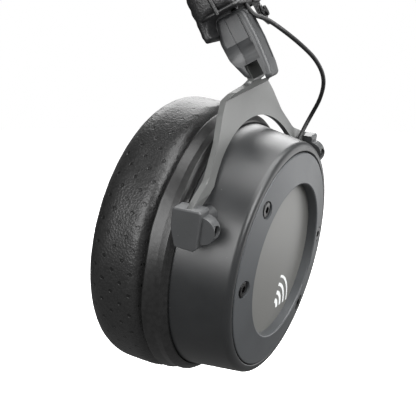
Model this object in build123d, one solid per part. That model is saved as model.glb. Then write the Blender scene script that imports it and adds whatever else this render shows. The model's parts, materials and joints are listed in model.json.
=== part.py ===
from build123d import *
import math
import os

# Closed over-ear headphones. Millimetres, +Z up, +X to the wearer's right, +Y to the front.
# The origin is the middle of the headband pad's underside, where it rests on the head.

# --- headband ---
band_radius = 92.0        # spring band, centre of its thickness
band_half_angle = 62.0    # from the top of the head to each end block
band_thickness = 0.8
band_width = 10.0
pad_width = 37.0
pad_below_band = 9.0      # cushion between the band and the head
pad_above_band = 4.2
pad_skin = 1.2
pad_flap = 7.6            # how far the pad's underside runs on beside each end block
stud_count = 13
stud_radius = 2.6
stud_height = 1.8
stud_spread = 56.0        # half angle over which the press studs are set
stud_row = 8.5            # the studs stand this far in front of the band's middle
tab_length = 8.0          # end of the closing flap beyond the pad, with one more stud on it
tab_width = 13.0
cross_lead_radius = 1.1

# --- end block and slide ---
block_angle = 28.0        # lean of the end block and tongue from the vertical
block_width = 13.0
block_length = 22.2
block_edge = 1.6
band_offset = 5.6         # from the tongue's plane out to the spring band
parting_offset = 0.6
parting_groove = 0.3
waist_height = 8.6        # middle of the scooped waist on the block's two broad faces
waist_radius = 8.0
waist_depth = 0.9
rim_offset = 5.4          # from here outwards the block keeps its full width as a rim
face_inset = 0.35         # depth of the long panel let into the block's outer face
slide_travel = 24.0
shoe_length = 8.0
shoe_width = 10.3
shoe_thickness = 4.9
slide_gap = 0.1           # around the shoe in its channel
channel_floor = 2.6
notch_height = 4.8        # of the notch through the block's foot that the fork's neck swings in
notch_inside = -0.5       # the notch's two sides, from the tongue's plane
notch_outside = 4.2
guide_wall = 0.8
spring_leaf = 0.4
rivet_radius = 1.1
rivet_heights = (12.0, 18.5)   # above the block's foot
band_seat = 9.0           # height above the block's foot that the band reaches down to
leaf_height = 13.0        # middle of the spring leaf above the block's foot
leaf_length = 12.0
leaf_width = 3.6
leaf_bow = 0.35

# --- fork ---
sheet = 2.0
tongue_width = 8.6
swivel_pin_radius = 1.5
running_gap = 0.05
swivel_at_rest = 14.7     # the cups hang turned towards the back
fork_lean = 4.0           # of the fork's plate from the vertical
fork_height = 38.0        # from the bend at the neck down to the tilt axis
fork_set = 3.8            # the plate is set back under the block and comes forward again to the arms
fork_set_drop = 5.0       # from the neck's bend down to the plate's furthest set
fork_straight = 30.0      # from here down the arms hang straight
arch_radius = 40.1
arch_rise = 23.8          # arch top above the tilt axis
arm_reach = 46.2          # half the fork's width over its arms
tilt_pin_radius = 1.95
tilt_pin_length = 5.0     # inwards from the bracket
bracket_screw_offset = 3.6   # the screw's middle inside the bracket's outer face
bracket_screw_height = 0.4
bracket_screw_radius = 1.8
bracket_width = 10.0
bracket_face = 47.6       # outer faces of the brackets from the middle
bracket_depth = 5.6
bracket_top = 7.0
bracket_bottom = 6.4

# --- cup, turned about its own axis; its origin is the middle of the cover ring's outer edge ---
cup_tilt = 4.0            # of the cup in the fork, top outwards
pivot_height = 24.0       # tilt axis above the cup's middle
pivot_depth = 13.8        # tilt axis behind the cover ring
shell_face_radius = 41.0
shell_back_radius = 43.9
shell_depth = 21.8
shell_wall = 2.2
flange_radius = 45.5
flange_thickness = 2.5
ring_radius = 37.8
ring_gap = 0.3
window_radius = 27.1
ring_rise = 2.1           # inner edge of the ring proud of its outer edge
ring_seat = 2.2
inlay_thickness = 0.8
inlay_lap = 1.5
screw_circle_radius = 33.0
screw_head_radius = 2.7
screw_well_radius = 3.0
screw_shank_radius = 1.2
screw_clearance = 0.05
well_depth = 0.4          # of the screw wells below the ring's outer edge
screw_angles = (128.6, 175.8, 308.6, 355.8)   # two pairs facing each other, from the cup's front
baffle_thickness = 2.0
driver_radius = 20.0
magnet_radius = 13.0
magnet_length = 8.0
pad_radius = 49.2
pad_hole_radius = 28.5
pad_thickness = 25.6
pad_roundness = 9.0
leather = 1.0
skirt_length = 4.1
skirt_gap = 0.3
foam_disc_thickness = 2.5
fleece_thickness = 3.0
lug_radius = 4.0
lug_reach = 40.8
jack_bore_radius = 1.75
jack_length = 15.0
jack_radius = 4.2
socket_depth = 12.0       # sockets, grommet and bass slider lie on this circle of the shell
slider_travel = 9.0
vent_plate_width = 8.0
vent_plate_length = 20.0
vent_plate_thickness = 2.5
vent_plate_depth = 4.2    # of its floor below the shell's surface
slider_angle = 235.0
jack_angle = 200.0
grommet_angle = -48.0
grommet_radius = 2.6
lead_radius = 0.75


def turned(points, radii=0.0):
    """A solid turned about X from a closed outline of (x, radius) corners."""
    count = len(points)
    corner = radii if isinstance(radii, list) else [radii] * count
    outline = FilletPolyline(*points, radius=corner, close=True) if any(corner) else Polyline(*points, close=True)
    return revolve(make_face(outline), Axis.X)


def rod_x(radius, start, end, y=0.0, z=0.0):
    """A round bar along X."""
    return Pos((start + end) / 2, y, z) * Rot(0, 90, 0) * Cylinder(radius, end - start)


def rod_y(radius, start, end, x=0.0, z=0.0):
    """A round bar along Y."""
    return Pos(x, (start + end) / 2, z) * Rot(90, 0, 0) * Cylinder(radius, end - start)


def rod_z(radius, start, end, x=0.0, y=0.0):
    """A round bar along Z."""
    return Pos(x, y, (start + end) / 2) * Cylinder(radius, end - start)


def block_between(low, high):
    """A box between two corners."""
    size = [h - l for l, h in zip(low, high)]
    middle = [(h + l) / 2 for l, h in zip(low, high)]
    return Pos(*middle) * Box(*size)


# --- frames ---
half_angle = math.radians(band_half_angle)
band_underside = band_radius - pad_below_band
arc_centre = Pos(0, 0, -band_underside)
block_frame = (
    Pos(band_radius * math.sin(half_angle), 0, band_radius * math.cos(half_angle) - band_underside)
    * Rot(0, -block_angle, 0)
    * Pos(-band_offset, 0, -block_length)
)
fork_frame = block_frame * Rot(0, 0, -swivel_at_rest) * Rot(0, block_angle + fork_lean, 0)
pivot_frame = fork_frame * Pos(0, 0, -fork_height)
cup_frame = pivot_frame * Rot(0, cup_tilt, 0) * Pos(pivot_depth, 0, -pivot_height)


# --- headband ---
def band_arc(inner, outer, width, half_spread=band_half_angle):
    """A stretch of the headband's arc between two radii, level about the top of the head."""
    section = Pos((inner + outer) / 2, 0) * Rectangle(outer - inner, width)
    ring = revolve(Plane.XY * section, Axis.Y, revolution_arc=2 * half_spread)
    return arc_centre * Rot(0, -90 - half_spread, 0) * ring


def both_sides(shape):
    """A right-hand shape and its mirror image."""
    return [shape, mirror(shape, about=Plane.YZ)]


def block_outline(width):
    """The end block's outer form with its hidden neck, in the block's frame."""
    side = [(-2.6, block_length), (7.6, block_length), (7.8, 10.6), (7.2, 1.7), (6.4, -2.3), (3.7, -2.3), (-2.1, 1.3),
            (-4.4, 8.3), (-4.6, 14.5)]
    face = make_face(FilletPolyline(*side, radius=[2.0, 3.2, 6.0, 2.2, 1.6, 1.0, 1.6, 4.0, 8.0], close=True))
    body = extrude(Plane.XZ * face, width / 2, both=True)
    return fillet(body.edges().filter_by(Plane.XZ), block_edge)


def channel():
    """The space that the slide shoe runs in, and the mouth that the tongue comes out of."""
    half_x = shoe_thickness / 2 + slide_gap
    half_y = shoe_width / 2 + slide_gap
    top = channel_floor + slide_travel + shoe_length + 2 * slide_gap
    mouth = block_between((-2.3, -tongue_width / 2 - 0.5, -6), (3.6, tongue_width / 2 + 0.5, channel_floor))
    notch = block_between((notch_inside, -block_width, -6), (notch_outside, block_width, notch_height))
    return block_between((-half_x, -half_y, channel_floor), (half_x, half_y, top)) + mouth + notch


channel_top = channel_floor + slide_travel + shoe_length + 2 * slide_gap
neck_half_x = shoe_thickness / 2 + slide_gap + guide_wall
neck_half_y = shoe_width / 2 + slide_gap + guide_wall


def neck():
    """The part of the end block that is tucked into the headband pad."""
    return block_between((-neck_half_x, -neck_half_y, block_length - 6), (neck_half_x, neck_half_y, channel_top + 1))


def band_strip():
    """The spring band with its straight ends, as wide as given, for the band and for its slots."""
    end = block_between((band_offset - band_thickness / 2, -band_width / 2, band_seat),
                        (band_offset + band_thickness / 2, band_width / 2, block_length))
    half = band_thickness / 2
    strip = band_arc(band_radius - half, band_radius + half, band_width)
    for piece in both_sides(block_frame * end):
        strip += piece
    return strip


def rivets(side_frame):
    """Two rivets that hold an end block to the band."""
    return [side_frame * rod_x(rivet_radius, band_offset - 2.0, band_offset + 1.4, z=height) for height in rivet_heights]


def leaf_spring():
    """The bowed leaf that clicks on the slide shoe."""
    half = leaf_length / 2
    path = Polyline((0, -half), (leaf_bow, -half / 3), (leaf_bow, half / 3), (0, half))
    strip = offset(path, spring_leaf / 2, side=Side.BOTH)
    blade = extrude(Plane.XZ * make_face(strip), leaf_width / 2, both=True)
    return Pos(shoe_thickness / 2 + slide_gap + 0.45, 0, leaf_height) * blade


def block_relief():
    """What is cut from the block's broad faces: the scooped waist, the parting groove and the rim's groove."""
    half = block_width / 2
    groove = parting_groove
    cuts = []
    for side in (1, -1):
        scoop_y = side * (half + waist_radius - waist_depth)
        scoop = rod_x(waist_radius, -12, rim_offset, y=scoop_y, z=waist_height)
        parting = block_between((parting_offset - groove / 2, -12, -4), (parting_offset + groove / 2, 12, block_length))
        skin = Pos(0, side * (half + 5 - groove), block_length / 2) * Box(30, 10, 2 * block_length)
        deep = rod_x(waist_radius + groove, -12, rim_offset, y=scoop_y, z=waist_height)
        rim_line = block_between((rim_offset - groove, -12, waist_height), (rim_offset + groove, 12, block_length - 2))
        cuts += [scoop, parting & (skin + deep), rim_line & (skin + Pos(0, -side * groove, 0) * skin)]
    return cuts


def outer_panel():
    """The shallow panel let into the block's outer face."""
    half = block_width / 2 - 2.4
    region = block_between((3, -half, 3.4), (12, half, 19.4))
    return (region & block_outline(block_width)) - Pos(-face_inset, 0, 0) * block_outline(block_width)


def end_block():
    """The end block's outer and inner halves."""
    solid = block_outline(block_width) - outer_panel() + neck() - channel()
    for cut in block_relief():
        solid -= cut
    solid -= Pos(shoe_thickness / 2 + slide_gap + 0.5, 0, leaf_height) * Box(1.4, leaf_width + 0.4, leaf_length + 1)
    split_plane = Plane(origin=(parting_offset, 0, 0), z_dir=(1, 0, 0))
    outer, inner = split(solid, split_plane, keep=Keep.TOP), split(solid, split_plane, keep=Keep.BOTTOM)
    outer -= block_between((band_offset - band_thickness / 2, -band_width / 2, band_seat),
                           (band_offset + band_thickness / 2, band_width / 2, block_length + 1))
    for rivet in rivets(Pos(0, 0, 0)):
        outer -= rivet
    return outer, inner


def headband_pad():
    """The leather sleeve, the foam in it and the room that the end blocks take out of both."""
    inner, outer = band_radius - pad_below_band, band_radius + pad_above_band
    flap = band_half_angle + math.degrees(pad_flap / band_radius)
    sleeve = band_arc(inner, outer, pad_width, flap)
    core = band_arc(inner + pad_skin, outer - pad_skin, pad_width - 2 * pad_skin, band_half_angle - 0.8)
    room = block_between((-5.2, -pad_width, -12), (20, pad_width, block_length + 0.4))
    pocket = block_between((-neck_half_x - 0.1, -neck_half_y - 0.1, block_length - 1),
                           (neck_half_x + 0.1, neck_half_y + 0.1, channel_top + 1.2))
    for piece in both_sides(block_frame * room) + both_sides(block_frame * pocket):
        sleeve -= piece
        core -= piece
    sleeve -= core + band_strip()
    tab_base = block_length + 0.4
    outside = band_offset + pad_above_band
    tab = block_between((outside - pad_skin, stud_row - tab_width / 2, tab_base - tab_length),
                        (outside, stud_row + tab_width / 2, tab_base))
    tab = fillet(tab.edges().filter_by(Axis.X).group_by(Axis.Z)[0], tab_width / 4)
    for piece in both_sides(block_frame * tab):
        sleeve += piece
    return sleeve, core


def cross_lead():
    """The lead that runs through the pad from one cup's side to the other."""
    radius = band_radius + band_thickness / 2 + cross_lead_radius + 0.2
    disc = Pos(radius, 0) * Circle(cross_lead_radius)
    spread = band_half_angle - 1.5
    arc = revolve(Plane.XY * disc, Axis.Y, revolution_arc=2 * spread)
    return arc_centre * Rot(0, -90 - spread, 0) * arc


def press_studs():
    """The row of press studs that closes the sleeve over the band."""
    knob = rod_z(stud_radius, 0, stud_height * 0.45) + rod_z(stud_radius * 0.72, 0, stud_height)
    on_tab = block_frame * Pos(band_offset + pad_above_band, stud_row, block_length + 0.4 - tab_length * 0.55)
    studs = both_sides(on_tab * Rot(0, 90, 0) * knob)
    for number in range(stud_count):
        angle = stud_spread * (2 * number / (stud_count - 1) - 1)
        studs.append(arc_centre * Rot(0, angle, 0) * Pos(0, stud_row, band_radius + pad_above_band) * knob)
    return Compound(studs)


# --- slide and fork ---
shoe_bottom = channel_floor + slide_travel + slide_gap
tongue_top = shoe_bottom - 0.6


def slide_shoe():
    """The shoe that slides in the end block and carries the swivel pin."""
    shoe = Pos(0, 0, shoe_bottom + shoe_length / 2) * Box(shoe_thickness, shoe_width, shoe_length)
    shoe = fillet(shoe.edges().filter_by(Axis.Z), 0.5)
    return shoe - rod_z(swivel_pin_radius + running_gap, shoe_bottom - 1, shoe_bottom + shoe_length - 1.2)


def tongue():
    """The fork's tongue, in the block's frame turned by the swivel."""
    return Pos(0, 0, (tongue_top - 0.2) / 2) * Box(sheet, tongue_width, tongue_top + 0.2)


def fork_bend():
    """The bent plate's thickness, wider than the plate."""
    line = [(0, 1), (0, 0), (-fork_set, -fork_set_drop), (0, -fork_straight), (0, -50)]
    edge = [(x + sheet / 2, z) for x, z in line] + [(x - sheet / 2, z) for x, z in reversed(line)]
    return extrude(Plane.XZ * make_face(Polyline(*edge, close=True)), 60, both=True)


def fork_plate():
    """The bent steel sheet that holds the cup, in the fork's frame."""
    side = [(0, 2), (tongue_width / 2, 2), (tongue_width / 2, -1.8), (14.6, -2.8), (19.6, -8.6), (25.2, -17.2),
            (34.0, -26.0), (arm_reach, -31.0), (arm_reach, -42.0), (43.0, -42.0), (42.4, -33.6), (36.0, -30.8),
            (29.0, -27.8), (0, -27.8)]
    radii = [0, 0, 1.6, 3.6, 14.0, 14.0, 8.0, 5.0, 1.2, 1.2, 3.0, 8.0, 1.5, 0]
    arch = Pos(0, arch_rise - arch_radius - fork_height)
    half = make_face(FilletPolyline(*side, radius=radii, close=True)) - arch * Circle(arch_radius)
    outline = half + mirror(half, about=Plane.YZ)
    plate = extrude(Plane.YZ * outline, 12, both=True) & fork_bend()
    bend = rod_y(sheet / 2, -tongue_width / 2, tongue_width / 2)
    upper = Rot(0, -block_angle - fork_lean, 0) * tongue()
    lower = plate - Pos(0, 0, 25) * Box(20, 20, 50)
    return lower + bend + upper


def swivel_pin():
    """The pin clasped on the tongue's end, which turns in the shoe."""
    collar = rod_z(2.3, tongue_top - 5.0, tongue_top)
    pin = rod_z(swivel_pin_radius, tongue_top, shoe_bottom + shoe_length - 2.0)
    return collar + pin - tongue()


def bracket():
    """The cap over an arm's end with the pin that the cup tilts on, for the +Y arm, in the pivot's frame."""
    half = bracket_width / 2
    profile = [(-half, bracket_top), (half, bracket_top), (half - 1.4, -bracket_bottom + 1.2),
               (half - 2.8, -bracket_bottom), (-half + 0.6, -bracket_bottom + 0.6), (-half - 0.6, 0.5)]
    face = make_face(FilletPolyline(*profile, radius=[0.9, 0.9, 0.8, 0.8, 0.8, 1.5], close=True))
    cap = Pos(0, bracket_face - bracket_depth / 2, 0) * extrude(Plane.XZ * face, bracket_depth / 2, both=True)
    cap += rod_y(4.4, bracket_face - bracket_depth, bracket_face - 1.6, x=half - 0.6, z=0.4)
    cap = fillet(cap.edges().group_by(Axis.Y)[-1], 0.5)
    cap -= block_between((-sheet / 2, 40, -4.0), (sheet / 2, arm_reach, bracket_top + 2))
    pin_end = bracket_face - bracket_depth
    pin = rod_y(tilt_pin_radius, pin_end - tilt_pin_length, pin_end + 0.2)
    return cap + pin - screw_blank(bracket_screw_radius + 0.1, half + 6)


def screw_blank(head_radius, head_end):
    """The form of a bracket's screw with its head run out to a given height."""
    x, y, z = bracket_width / 2, bracket_face - bracket_screw_offset, bracket_screw_height
    return rod_x(head_radius, x + 1.6, head_end, y=y, z=z) + rod_x(0.9, x - 2.5, x + 1.7, y=y, z=z)


def bracket_screw():
    """The cross-head screw that clamps a bracket on its arm."""
    top = bracket_width / 2 + 2.6
    cross = Box(0.8, 0.45, 2.0) + Box(0.8, 2.0, 0.45)
    socket = Pos(top, bracket_face - bracket_screw_offset, bracket_screw_height) * cross
    return screw_blank(bracket_screw_radius, top) - socket


# --- cup ---
def shell_radius(depth):
    """Outer radius of the tapered shell at a depth behind the ring's outer edge."""
    return shell_face_radius + (shell_back_radius - shell_face_radius) * depth / shell_depth


def on_shell(angle):
    """A frame on the shell's circle of sockets, +Z pointing out of the shell."""
    return Rot(angle, 0, 0) * Pos(-socket_depth, 0, 0)


def cup_shell():
    """The housing: a tapered cup with its front wall, rear flange and the two lugs for the tilt pins."""
    seat = ring_radius + ring_gap
    wall_back = -ring_seat - shell_wall
    inner_back = shell_back_radius - shell_wall
    outline = [(-shell_depth, shell_back_radius), (0, shell_face_radius), (0, seat), (-ring_seat, seat),
               (-ring_seat, 0), (wall_back, 0), (wall_back, shell_face_radius - shell_wall),
               (-shell_depth - flange_thickness, inner_back), (-shell_depth - flange_thickness, flange_radius),
               (-shell_depth, flange_radius)]
    shell = turned(outline, [0.6, 2.4, 0.4, 0, 0, 0, 2.0, 0, 0.4, 0.4])
    for y_sign in (1, -1):
        near, far = sorted((y_sign * 33.0, y_sign * lug_reach))
        ear = rod_y(lug_radius, near, far, x=-pivot_depth, z=pivot_height)
        ear -= turned([(-30, 0), (0, 0), (0, shell_face_radius - shell_wall / 2),
                       (-shell_depth, shell_back_radius - shell_wall / 2), (-30, shell_back_radius)])
        shell += ear
    bore = rod_y(tilt_pin_radius + running_gap, -lug_reach - 1, lug_reach + 1, x=-pivot_depth, z=pivot_height)
    shell -= bore - Box(200, 2 * 36.4, 200)
    for y, z in screw_places():
        shell -= rod_x(screw_shank_radius + screw_clearance, wall_back - 1, 0, y=y, z=z)
    shell -= on_shell(grommet_angle) * rod_z(grommet_radius - 0.6, 30, 60)
    shell -= on_shell(slider_angle) * Pos(0, 0, shell_radius(socket_depth) - 1.2) * Box(
        vent_plate_width, vent_plate_length, 6.0)
    return shell


def screw_places():
    """Where the cover ring's screws stand in the cup's face."""
    angles = [math.radians(angle) for angle in screw_angles]
    return [(screw_circle_radius * math.cos(angle), screw_circle_radius * math.sin(angle)) for angle in angles]


def cover_ring():
    """The cover plate's ring, its face rising to the window, with a well for each screw."""
    lap = window_radius + inlay_lap
    under = -ring_seat + inlay_thickness
    outline = [(-ring_seat, lap), (-ring_seat, ring_radius), (0.2, ring_radius), (ring_rise, window_radius),
               (under, window_radius), (under, lap)]
    ring = turned(outline, [0, 0, 0.5, 0.5, 0, 0])
    for y, z in screw_places():
        ring -= rod_x(screw_well_radius, -well_depth, 4, y=y, z=z)
        ring -= rod_x(screw_shank_radius + screw_clearance, -ring_seat - 1, 1, y=y, z=z)
    return ring


def ring_screws():
    """Four socket screws that hold the cover ring."""
    top = 0.9
    head = fillet(rod_x(screw_head_radius, -well_depth, top).edges().group_by(Axis.X)[-1], 0.4)
    socket = Pos(top, 0, 0) * extrude(Plane.YZ * RegularPolygon(1.3, 6), 0.9, both=True)
    shank = rod_x(screw_shank_radius, -ring_seat - shell_wall + 0.1, -well_depth + 0.1)
    return Compound([Pos(0, y, z) * (head + shank - socket) for y, z in screw_places()])


def cover_inlay():
    """The flat disc in the cover's window."""
    radius = window_radius + inlay_lap - 0.1
    return rod_x(radius, -ring_seat, -ring_seat + inlay_thickness)


baffle_front = -shell_depth - flange_thickness - baffle_thickness


def baffle():
    """The plate behind the ear pad, pierced over the driver and around its edge."""
    plate = rod_x(flange_radius - 0.4, baffle_front, baffle_front + baffle_thickness)
    for radius, count, hole in ((0, 1, 1.7), (6.5, 6, 1.7), (13.0, 12, 1.7), (35.0, 8, 1.2)):
        for number in range(count):
            angle = math.tau * number / count
            plate -= rod_x(hole, baffle_front - 1, baffle_front + baffle_thickness + 1,
                           y=radius * math.cos(angle), z=radius * math.sin(angle))
    return plate


def driver_frame():
    """The driver's basket, glued behind the baffle."""
    front = baffle_front + baffle_thickness
    outline = [(front, driver_radius - 1.5), (front, driver_radius + 3), (front + 1.2, driver_radius + 3),
               (front + 1.2, driver_radius + 1), (front + 6.2, magnet_radius + 2.2), (front + 6.2, magnet_radius),
               (front + 5.0, magnet_radius), (front + 1.6, driver_radius - 1.5)]
    return turned(outline)


def driver_magnet():
    """The driver's magnet pot, seated in the basket."""
    start = baffle_front + baffle_thickness + 4.4
    pot = rod_x(magnet_radius, start, start + magnet_length)
    return pot - rod_x(magnet_radius - 3, start - 1, start + magnet_length - 3)


def driver_diaphragm():
    """The driver's domed membrane."""
    front = baffle_front + baffle_thickness + 0.7
    edge = driver_radius - 1.6
    return turned([(front, 0), (front, 6), (front + 1.0, 10), (front + 0.3, edge), (front + 0.5, edge),
                   (front + 1.2, 10), (front + 0.2, 6), (front + 0.2, 0)])


def fleece():
    """The damping fleece behind the front wall."""
    front = -ring_seat - shell_wall
    return rod_x(shell_face_radius - shell_wall - 3.0, front - fleece_thickness, front)


def pad_profile(inset):
    """The ear pad's section, set in all round, as corners and their radii."""
    back = baffle_front
    front = back - pad_thickness + inset
    inner, outer = pad_hole_radius + inset, pad_radius - inset
    lip = flange_radius + skirt_gap
    corners = [(back, inner), (front, inner), (front, outer), (back - 3.6 - inset, outer),
               (back - 1.0 - inset, lip - inset), (back, lip - inset)]
    soft = pad_roundness - inset
    return corners, [0, soft, soft, 2.0, 1.0, 0]


def ear_pad():
    """The ear pad's leather cover with the skirt that grips the flange."""
    corners, radii = pad_profile(0)
    lip = flange_radius + skirt_gap
    back = baffle_front
    corners[-2:] = [(back - 1.0, lip + leather), (back + skirt_length, lip + leather), (back + skirt_length, lip),
                    (back, lip)]
    radii[-2:] = [1.0, 0.4, 0, 0]
    return turned(corners, radii) - pad_foam()


def pad_foam():
    """The foam ring inside the ear pad."""
    corners, radii = pad_profile(leather)
    return turned(corners, radii)


def foam_disc():
    """The thin foam that covers the driver inside the pad's opening."""
    return rod_x(pad_hole_radius - 0.5, baffle_front - foam_disc_thickness, baffle_front)


def lead_grommet():
    """The bush that a cup's lead goes in through."""
    wall = shell_radius(socket_depth)
    bush = rod_z(grommet_radius - 0.6, wall - 4.5, wall + 0.6) + rod_z(grommet_radius, wall + 0.3, wall + 3.2)
    bush = fillet(bush.edges().group_by(Axis.Z)[-1], 0.7)
    return on_shell(grommet_angle) * (bush - rod_z(lead_radius + 0.05, wall - 6, wall + 5)) - cup_shell()


def vent_plate():
    """The slotted plate that the bass slider runs in."""
    floor = shell_radius(socket_depth) - vent_plate_depth
    plate = Pos(0, 0, floor + vent_plate_thickness / 2) * Box(
        vent_plate_width, vent_plate_length, vent_plate_thickness)
    slot = Pos(0, 0, floor + 2.0) * Box(3.4, slider_travel + 4.4, 8.0)
    return on_shell(slider_angle) * (plate - slot)


def bass_slider():
    """The slider that opens the vents."""
    floor = shell_radius(socket_depth) - vent_plate_depth
    start = -slider_travel / 2
    stem = Pos(0, start, floor + 2.2) * Box(3.2, 4.0, 4.0)
    head = Pos(0, start, floor + 4.0) * Box(5.2, 5.0, 1.6)
    return on_shell(slider_angle) * (stem + head)


def jack_socket():
    """The socket that a detachable cable plugs into."""
    end = shell_radius(socket_depth) + 0.8
    body = rod_z(jack_radius, end - jack_length, end)
    return on_shell(jack_angle) * (body - rod_z(jack_bore_radius, end - jack_length + 1.0, end + 1))


# --- cup lead: from the headband pad's end, out in a loop and into the grommet ---
lead_exit = block_frame * Pos(8.8, -5.0, block_length + 0.4)
lead_entry = cup_frame * on_shell(grommet_angle) * Pos(0, 0, shell_radius(socket_depth) + 1.2)
lead_bend = 4.2           # straight runs at the lead's two ends
lead_tail = 7.0
lead_points = [           # of the loop, in the end block's frame
    (12.56, -5.1, 15.11),
    (15.36, -2.6, 9.32),
    (17.3, 4.0, 2.74),
    (17.98, 14.0, -4.08),
    (15.74, 25.5, -11.27),
    (9.6, 36.0, -17.07),
    (2.74, 41.5, -21.23),
]


def lead_route():
    """The points of a cup's lead, its first and last runs straight out of the pad and the grommet."""
    loop = [block_frame * Pos(*point) for point in lead_points]
    places = [lead_exit, lead_exit * Pos(0, 0, -lead_bend), *loop, lead_entry * Pos(0, 0, lead_tail), lead_entry]
    return [place.position for place in places]


def lead_radii(points):
    """The largest arc that the two runs at each corner leave room for."""
    radii = []
    for before, corner, after in zip(points, points[1:], points[2:]):
        shorter = min((corner - before).length, (after - corner).length)
        half_turn = math.radians((corner - before).get_angle(after - corner)) / 2
        radii.append(0.45 * shorter / math.tan(half_turn))
    return radii


def cup_lead():
    """The lead's tube along its route."""
    points = lead_route()
    radii = lead_radii(points)
    print("lead radii", [round(radius, 1) for radius in radii])
    path = FilletPolyline(*points, radius=radii)
    tube = sweep(Plane(path @ 0, z_dir=path % 0) * Circle(lead_radius), path=path)
    print("lead length", round(path.length, 1), "volume error",
          round(tube.volume / (path.length * math.pi * lead_radius**2) - 1, 4))
    return tube


# --- assembly ---
def side_parts():
    """Every piece of the right-hand side, in the headset's frame."""
    outer, inner = end_block()
    rear = mirror(bracket(), about=Plane.XZ)
    screws = Compound([bracket_screw(), mirror(bracket_screw(), about=Plane.XZ)])
    in_frames = {
        block_frame: {
            "block_outer": outer,
            "block_inner": inner,
            "band_rivets": Compound(rivets(Pos(0, 0, 0))),
            "detent_spring": leaf_spring(),
            "slide_shoe": slide_shoe(),
        },
        block_frame * Rot(0, 0, -swivel_at_rest): {"swivel_pin": swivel_pin()},
        fork_frame: {"fork": fork_plate()},
        pivot_frame: {"front_bracket": bracket(), "rear_bracket": rear, "bracket_screws": screws},
        cup_frame: {
            "cup_shell": cup_shell(),
            "cover_ring": cover_ring(),
            "ring_screws": ring_screws(),
            "cover_inlay": cover_inlay(),
            "damping_fleece": fleece(),
            "driver_magnet": driver_magnet(),
            "driver_frame": driver_frame(),
            "driver_diaphragm": driver_diaphragm(),
            "baffle": baffle(),
            "ear_pad": ear_pad(),
            "pad_foam": pad_foam(),
            "foam_disc": foam_disc(),
            "lead_grommet": lead_grommet(),
            "vent_plate": vent_plate(),
            "bass_slider": bass_slider(),
        },
    }
    placed = {name: frame * shape for frame, shapes in in_frames.items() for name, shape in shapes.items()}
    placed["cup_lead"] = cup_lead()
    return placed


def headset():
    """Every node of the headphones by name."""
    sleeve, core = headband_pad()
    band = band_strip()
    lead = cross_lead()
    nodes = {"spring_band": band, "band_pad": sleeve, "cross_lead": lead, "band_foam": core - band - lead,
             "band_snaps": press_studs()}
    for name, shape in side_parts().items():
        nodes["right_" + name] = shape
        nodes["left_" + name] = mirror(shape, about=Plane.YZ)
    for rivet in rivets(block_frame):
        for piece in both_sides(rivet):
            nodes["spring_band"] -= piece
    socket = mirror(cup_frame * jack_socket(), about=Plane.YZ)
    hole = mirror(cup_frame * on_shell(jack_angle) * rod_z(jack_radius, 20, 60), about=Plane.YZ)
    nodes["left_cup_shell"] -= hole
    nodes["jack_socket"] = socket
    return nodes


if __name__ == "__main__":
    os.makedirs("parts", exist_ok=True)
    for name, shape in headset().items():
        shape.label = name
        export_step(shape, f"parts/{name}.step")
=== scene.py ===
"""Closed over-ear headphones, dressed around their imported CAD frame. Lengths in metres, +Z up, +Y to the front."""

import json
import logging
import math
from dataclasses import dataclass, field
from enum import Enum
from typing import Callable, Sequence

import bmesh
import bpy
from mathutils import Matrix, Vector, noise


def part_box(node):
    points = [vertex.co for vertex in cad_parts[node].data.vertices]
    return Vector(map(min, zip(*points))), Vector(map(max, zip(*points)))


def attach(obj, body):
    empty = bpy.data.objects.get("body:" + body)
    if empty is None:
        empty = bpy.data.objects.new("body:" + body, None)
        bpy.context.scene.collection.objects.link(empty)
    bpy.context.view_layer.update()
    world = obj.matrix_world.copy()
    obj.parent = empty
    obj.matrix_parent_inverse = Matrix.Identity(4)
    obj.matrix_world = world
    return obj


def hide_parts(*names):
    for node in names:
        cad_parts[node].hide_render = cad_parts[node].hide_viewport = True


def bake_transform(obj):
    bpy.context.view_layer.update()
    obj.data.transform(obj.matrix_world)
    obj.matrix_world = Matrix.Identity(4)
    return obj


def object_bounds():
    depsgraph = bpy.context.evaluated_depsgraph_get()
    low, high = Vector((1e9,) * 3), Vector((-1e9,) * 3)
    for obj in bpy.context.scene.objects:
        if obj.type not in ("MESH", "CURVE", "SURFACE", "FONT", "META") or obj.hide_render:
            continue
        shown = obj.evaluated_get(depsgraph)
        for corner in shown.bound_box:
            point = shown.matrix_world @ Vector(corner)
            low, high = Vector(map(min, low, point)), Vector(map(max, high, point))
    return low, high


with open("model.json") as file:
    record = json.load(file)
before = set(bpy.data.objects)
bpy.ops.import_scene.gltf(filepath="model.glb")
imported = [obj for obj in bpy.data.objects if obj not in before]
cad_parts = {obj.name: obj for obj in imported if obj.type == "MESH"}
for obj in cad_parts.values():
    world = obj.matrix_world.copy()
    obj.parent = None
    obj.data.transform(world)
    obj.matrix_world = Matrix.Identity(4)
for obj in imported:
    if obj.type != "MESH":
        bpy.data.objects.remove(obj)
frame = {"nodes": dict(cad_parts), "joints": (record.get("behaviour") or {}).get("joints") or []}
cad_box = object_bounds()

MM = 0.001
LOG = logging.getLogger("headphones")
Point = tuple[float, float]
Place = tuple[float, float, float]
Tree = bpy.types.NodeTree


class Side(Enum):
    """The wearer's side that a cup is on."""

    RIGHT = "right"
    LEFT = "left"

    @property
    def sign(self) -> int:
        """Which way along X the side lies."""
        return 1 if self is Side.RIGHT else -1

    def node(self, part: str) -> str:
        """The name of this side's copy of a part."""
        return f"{self.value}_{part}"


class Grain(Enum):
    """How a leatherette's surface is worked."""

    PLAIN = "plain"
    PERFORATED = "perforated"


# --- colour and nodes ---
def linear(hex_colour: str) -> tuple[float, float, float, float]:
    """Turns an sRGB hex colour to linear light.

    Args:
        hex_colour: six hex digits, such as "3a3a3c".

    Returns:
        Red, green, blue and an alpha of one.
    """
    channels = [int(hex_colour[i:i + 2], 16) / 255 for i in (0, 2, 4)]
    return (*(c / 12.92 if c <= 0.04045 else ((c + 0.055) / 1.055) ** 2.4 for c in channels), 1.0)


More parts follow.
